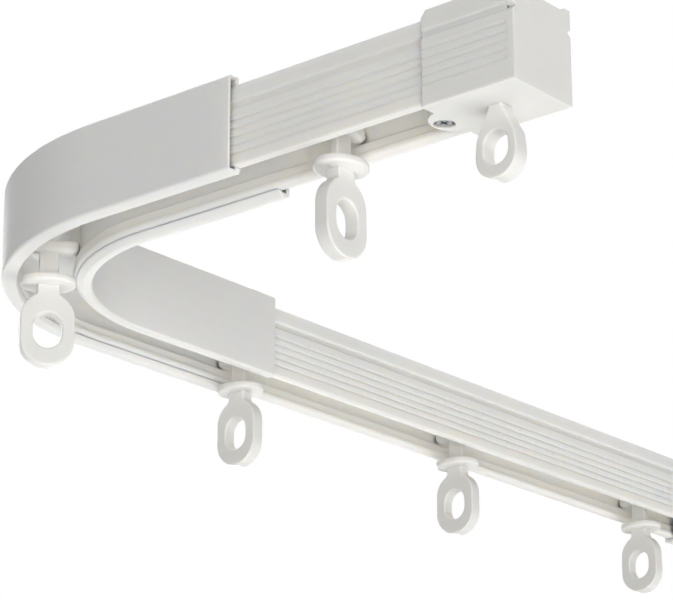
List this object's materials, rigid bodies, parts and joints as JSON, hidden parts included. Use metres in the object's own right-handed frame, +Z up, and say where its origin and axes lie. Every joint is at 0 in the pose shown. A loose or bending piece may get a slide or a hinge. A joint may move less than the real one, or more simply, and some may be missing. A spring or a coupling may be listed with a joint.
{
  "type": "flexible curtain track",
  "caption": "Ribbed curtain track bent round a right-angle corner, with covers on the bend, gliders with eyes, end caps with a fixed eye, and turn-lock ceiling clips.",
  "frame": {"origin": "screw hole of the first clip on the long run, at the ceiling", "axes": "+X along the long run away from the bend, the short run towards -Y, +Z up into the ceiling"},
  "size_m": [0.3811, 0.1981, 0.0482],
  "materials": {
    "white_rail_plastic": "satin",
    "white_cover_plastic": "gloss",
    "white_moulded_plastic": "satin",
    "aluminium_strip": "mill",
    "zinc_plated_steel": "plated"
  },
  "bodies": {
    "track": {"rail": "white_rail_plastic", "bend_strip": "aluminium_strip", "outer_cover": "white_cover_plastic", "inner_cover": "white_cover_plastic", "end_cap_short": "white_moulded_plastic", "end_cap_long": "white_moulded_plastic", "cap_screw_short": "zinc_plated_steel", "cap_screw_long": "zinc_plated_steel", "clip_plate_1": "zinc_plated_steel", "clip_plate_2": "zinc_plated_steel", "clip_plate_3": "zinc_plated_steel", "clip_rivet_1": "zinc_plated_steel", "clip_rivet_2": "zinc_plated_steel", "clip_rivet_3": "zinc_plated_steel"},
    "glider_1": {"glider_1": "white_moulded_plastic"},
    "glider_2": {"glider_2": "white_moulded_plastic"},
    "glider_3": {"glider_3": "white_moulded_plastic"},
    "glider_4": {"glider_4": "white_moulded_plastic"},
    "glider_5": {"glider_5": "white_moulded_plastic"},
    "clip_lever_1": {"clip_lever_1": "zinc_plated_steel"},
    "clip_lever_2": {"clip_lever_2": "zinc_plated_steel"},
    "clip_lever_3": {"clip_lever_3": "zinc_plated_steel"}
  },
  "joints": [
    {"name": "glider_1_slide", "type": "slide", "parent": "track", "child": "glider_1", "axis": [0, 1, 0], "range_m": [-0.0245, 0.0699]},
    {"name": "glider_2_bend", "type": "hinge", "parent": "track", "child": "glider_2", "pos_m": [-0.08, -0.06, 0], "axis": [0, 0, -1], "range_deg": [-37.5, 52.5]},
    {"name": "glider_3_slide", "type": "slide", "parent": "track", "child": "glider_3", "axis": [1, 0, 0], "range_m": [-0.0514, 0.0886]},
    {"name": "glider_4_slide", "type": "slide", "parent": "track", "child": "glider_4", "axis": [1, 0, 0], "range_m": [-0.0886, 0.0886]},
    {"name": "glider_5_slide", "type": "slide", "parent": "track", "child": "glider_5", "axis": [1, 0, 0], "range_m": [-0.0886, 0.024]},
    {"name": "clip_lever_1_turn", "type": "hinge", "parent": "track", "child": "clip_lever_1", "pos_m": [-0.14, -0.14, 0], "axis": [0, 0, 1], "range_deg": [0, 90]},
    {"name": "clip_lever_2_turn", "type": "hinge", "parent": "track", "child": "clip_lever_2", "pos_m": [0.015, 0, 0], "axis": [0, 0, 1], "range_deg": [0, 90]},
    {"name": "clip_lever_3_turn", "type": "hinge", "parent": "track", "child": "clip_lever_3", "pos_m": [0.18, 0, 0], "axis": [0, 0, 1], "range_deg": [0, 90]}
  ]
}
